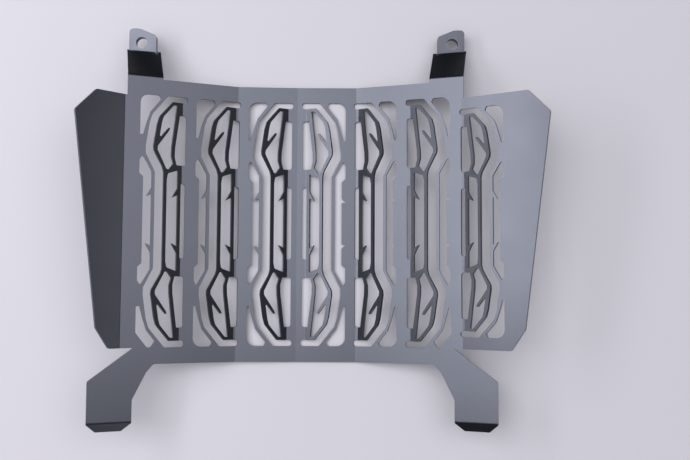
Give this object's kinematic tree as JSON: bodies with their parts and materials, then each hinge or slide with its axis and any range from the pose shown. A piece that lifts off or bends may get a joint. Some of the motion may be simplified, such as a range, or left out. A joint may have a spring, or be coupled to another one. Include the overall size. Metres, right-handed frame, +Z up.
{
  "type": "motorcycle radiator guard",
  "caption": "Folded sheet-metal radiator guard: columns of lifted, angular louvres, drilled top tabs stepped back from the face, lipped lower legs and a plain wing on each side.",
  "frame": {"origin": "bottom centre of the guard's box, on the surface that it lies on", "axes": "+X to the right across the guard, +Y up its height, +Z up, out of its front face"},
  "size_m": [0.3502, 0.315, 0.0686],
  "materials": {
    "coated_sheet": "satin dark grey powder coat"
  },
  "bodies": {
    "root": {"guard": "coated_sheet"}
  },
  "joints": []
}
